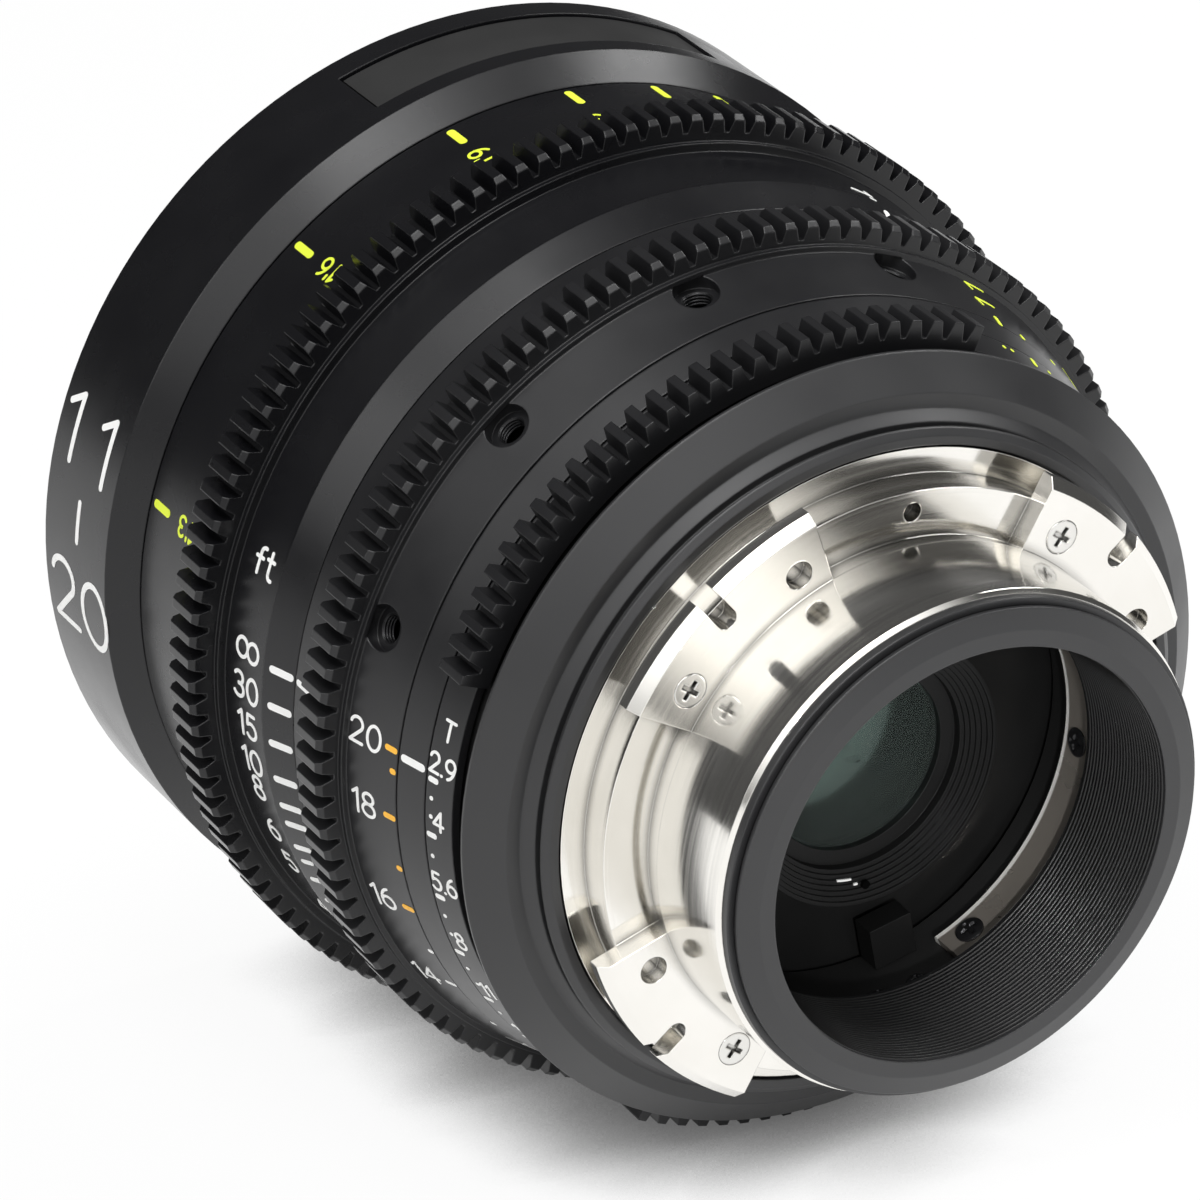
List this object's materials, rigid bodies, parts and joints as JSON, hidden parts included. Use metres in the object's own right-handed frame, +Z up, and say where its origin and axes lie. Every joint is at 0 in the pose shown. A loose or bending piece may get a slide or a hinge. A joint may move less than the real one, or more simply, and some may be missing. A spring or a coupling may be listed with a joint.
{
  "type": "cinema zoom lens",
  "caption": "Cinema zoom lens with a wide round front, geared focus, zoom and iris rings, and a bright four-lug camera mount with a rear tube.",
  "frame": {"origin": "centre of the camera mount, on the optical axis in the plane of the lugs' rear faces, which seat on the camera", "axes": "+Y along the optical axis from the mount to the front glass, +Z up through the blank plate on the front ring, +X to the right seen from the camera"},
  "size_m": [0.1008, 0.1004, 0.1008],
  "materials": {
    "black_anodised": "satin black anodised",
    "matt_black": "matt black anodised",
    "bright_mount": "polished, finely turned",
    "black_steel": "blackened",
    "white_print": "engraved numerals and ticks filled with white paint",
    "yellow_print": "engraved numerals and ticks filled with yellow green paint",
    "orange_print": "engraved ticks filled with orange paint",
    "coated_glass": "coated"
  },
  "bodies": {
    "lens_body": {"mount_flange": "bright_mount", "mount_screw_1": "bright_mount", "mount_screw_2": "bright_mount", "mount_screw_3": "bright_mount", "mount_screw_4": "bright_mount", "rear_tube": "matt_black", "inner_strip": "bright_mount", "strip_screw_1": "black_steel", "strip_screw_2": "black_steel", "strip_screw_3": "black_steel", "bore_block": "matt_black", "bore_screw_1": "black_steel", "bore_screw_2": "black_steel", "rear_body": "black_anodised", "main_barrel": "matt_black", "index_band": "black_anodised", "focus_index_ring": "black_anodised", "iris_base": "matt_black", "iris_cover": "matt_black", "front_ring": "black_anodised", "blank_name_plate": "matt_black", "front_cell": "matt_black", "front_element": "coated_glass", "front_lock_ring": "matt_black", "second_element": "coated_glass", "second_lock_ring": "matt_black", "rear_bulkhead": "matt_black", "rear_cell": "matt_black", "rear_element": "coated_glass", "rear_lock_ring": "matt_black"},
    "iris_control": {"iris_ring": "black_anodised", "iris_drive_ring": "matt_black", "iris_key": "black_steel"},
    "zoom_control": {"zoom_ring": "black_anodised"},
    "focus_control": {"focus_ring": "black_anodised"},
    "focus_group": {"focus_carriage": "matt_black", "focus_element": "coated_glass", "focus_guide_pin_1": "black_steel", "focus_guide_pin_2": "black_steel", "focus_guide_pin_3": "black_steel"},
    "zoom_group": {"zoom_carriage": "matt_black", "zoom_element": "coated_glass", "zoom_guide_pin_1": "black_steel", "zoom_guide_pin_2": "black_steel", "zoom_guide_pin_3": "black_steel"},
    "relay_group": {"relay_carriage": "matt_black", "relay_element": "coated_glass", "relay_guide_pin_1": "black_steel", "relay_guide_pin_2": "black_steel", "relay_guide_pin_3": "black_steel"},
    "blade_1": {"iris_blade_1": "black_steel"},
    "blade_2": {"iris_blade_2": "black_steel"},
    "blade_3": {"iris_blade_3": "black_steel"},
    "blade_4": {"iris_blade_4": "black_steel"},
    "blade_5": {"iris_blade_5": "black_steel"},
    "blade_6": {"iris_blade_6": "black_steel"},
    "blade_7": {"iris_blade_7": "black_steel"},
    "blade_8": {"iris_blade_8": "black_steel"},
    "blade_9": {"iris_blade_9": "black_steel"}
  },
  "joints": [
    {"name": "focus_turn", "type": "hinge", "parent": "lens_body", "child": "focus_control", "pos_m": [0, 0.0547, 0], "axis": [0, 1, 0], "range_deg": [0, 246]},
    {"name": "zoom_turn", "type": "hinge", "parent": "lens_body", "child": "zoom_control", "pos_m": [0, 0.0288, 0], "axis": [0, 1, 0], "range_deg": [0, 61]},
    {"name": "iris_turn", "type": "hinge", "parent": "lens_body", "child": "iris_control", "pos_m": [0, 0.0166, 0], "axis": [0, 1, 0], "range_deg": [0, 58]},
    {"name": "focus_slide", "type": "slide", "parent": "lens_body", "child": "focus_group", "axis": [0, 1, 0], "range_m": [0, 0.003]},
    {"name": "zoom_slide", "type": "slide", "parent": "lens_body", "child": "zoom_group", "axis": [0, 1, 0], "range_m": [0, 0.0052]},
    {"name": "relay_slide", "type": "slide", "parent": "lens_body", "child": "relay_group", "axis": [0, 1, 0], "range_m": [0, 0.003]},
    {"name": "blade_1_turn", "type": "hinge", "parent": "lens_body", "child": "blade_1", "pos_m": [0, 0.0162, 0.031], "axis": [0, -1, 0], "range_deg": [0, 33]},
    {"name": "blade_2_turn", "type": "hinge", "parent": "lens_body", "child": "blade_2", "pos_m": [-0.01993, 0.0162, 0.02375], "axis": [0, -1, 0], "range_deg": [0, 33]},
    {"name": "blade_3_turn", "type": "hinge", "parent": "lens_body", "child": "blade_3", "pos_m": [-0.03053, 0.0162, 0.00538], "axis": [0, -1, 0], "range_deg": [0, 33]},
    {"name": "blade_4_turn", "type": "hinge", "parent": "lens_body", "child": "blade_4", "pos_m": [-0.02685, 0.0162, -0.0155], "axis": [0, -1, 0], "range_deg": [0, 33]},
    {"name": "blade_5_turn", "type": "hinge", "parent": "lens_body", "child": "blade_5", "pos_m": [-0.0106, 0.0162, -0.02913], "axis": [0, -1, 0], "range_deg": [0, 33]},
    {"name": "blade_6_turn", "type": "hinge", "parent": "lens_body", "child": "blade_6", "pos_m": [0.0106, 0.0162, -0.02913], "axis": [0, -1, 0], "range_deg": [0, 33]},
    {"name": "blade_7_turn", "type": "hinge", "parent": "lens_body", "child": "blade_7", "pos_m": [0.02685, 0.0162, -0.0155], "axis": [0, -1, 0], "range_deg": [0, 33]},
    {"name": "blade_8_turn", "type": "hinge", "parent": "lens_body", "child": "blade_8", "pos_m": [0.03053, 0.0162, 0.00538], "axis": [0, -1, 0], "range_deg": [0, 33]},
    {"name": "blade_9_turn", "type": "hinge", "parent": "lens_body", "child": "blade_9", "pos_m": [0.01993, 0.0162, 0.02375], "axis": [0, -1, 0], "range_deg": [0, 33]}
  ],
  "couplings": [
    {"joint": "focus_slide", "follows": "focus_turn", "m_per_rad": 0.0006987},
    {"joint": "zoom_slide", "follows": "zoom_turn", "m_per_rad": 0.0048842},
    {"joint": "relay_slide", "follows": "zoom_turn", "m_per_rad": 0.0028178},
    {"joint": "blade_1_turn", "follows": "iris_turn", "ratio": 0.5689},
    {"joint": "blade_2_turn", "follows": "iris_turn", "ratio": 0.5689},
    {"joint": "blade_3_turn", "follows": "iris_turn", "ratio": 0.5689},
    {"joint": "blade_4_turn", "follows": "iris_turn", "ratio": 0.5689},
    {"joint": "blade_5_turn", "follows": "iris_turn", "ratio": 0.5689},
    {"joint": "blade_6_turn", "follows": "iris_turn", "ratio": 0.5689},
    {"joint": "blade_7_turn", "follows": "iris_turn", "ratio": 0.5689},
    {"joint": "blade_8_turn", "follows": "iris_turn", "ratio": 0.5689},
    {"joint": "blade_9_turn", "follows": "iris_turn", "ratio": 0.5689}
  ]
}
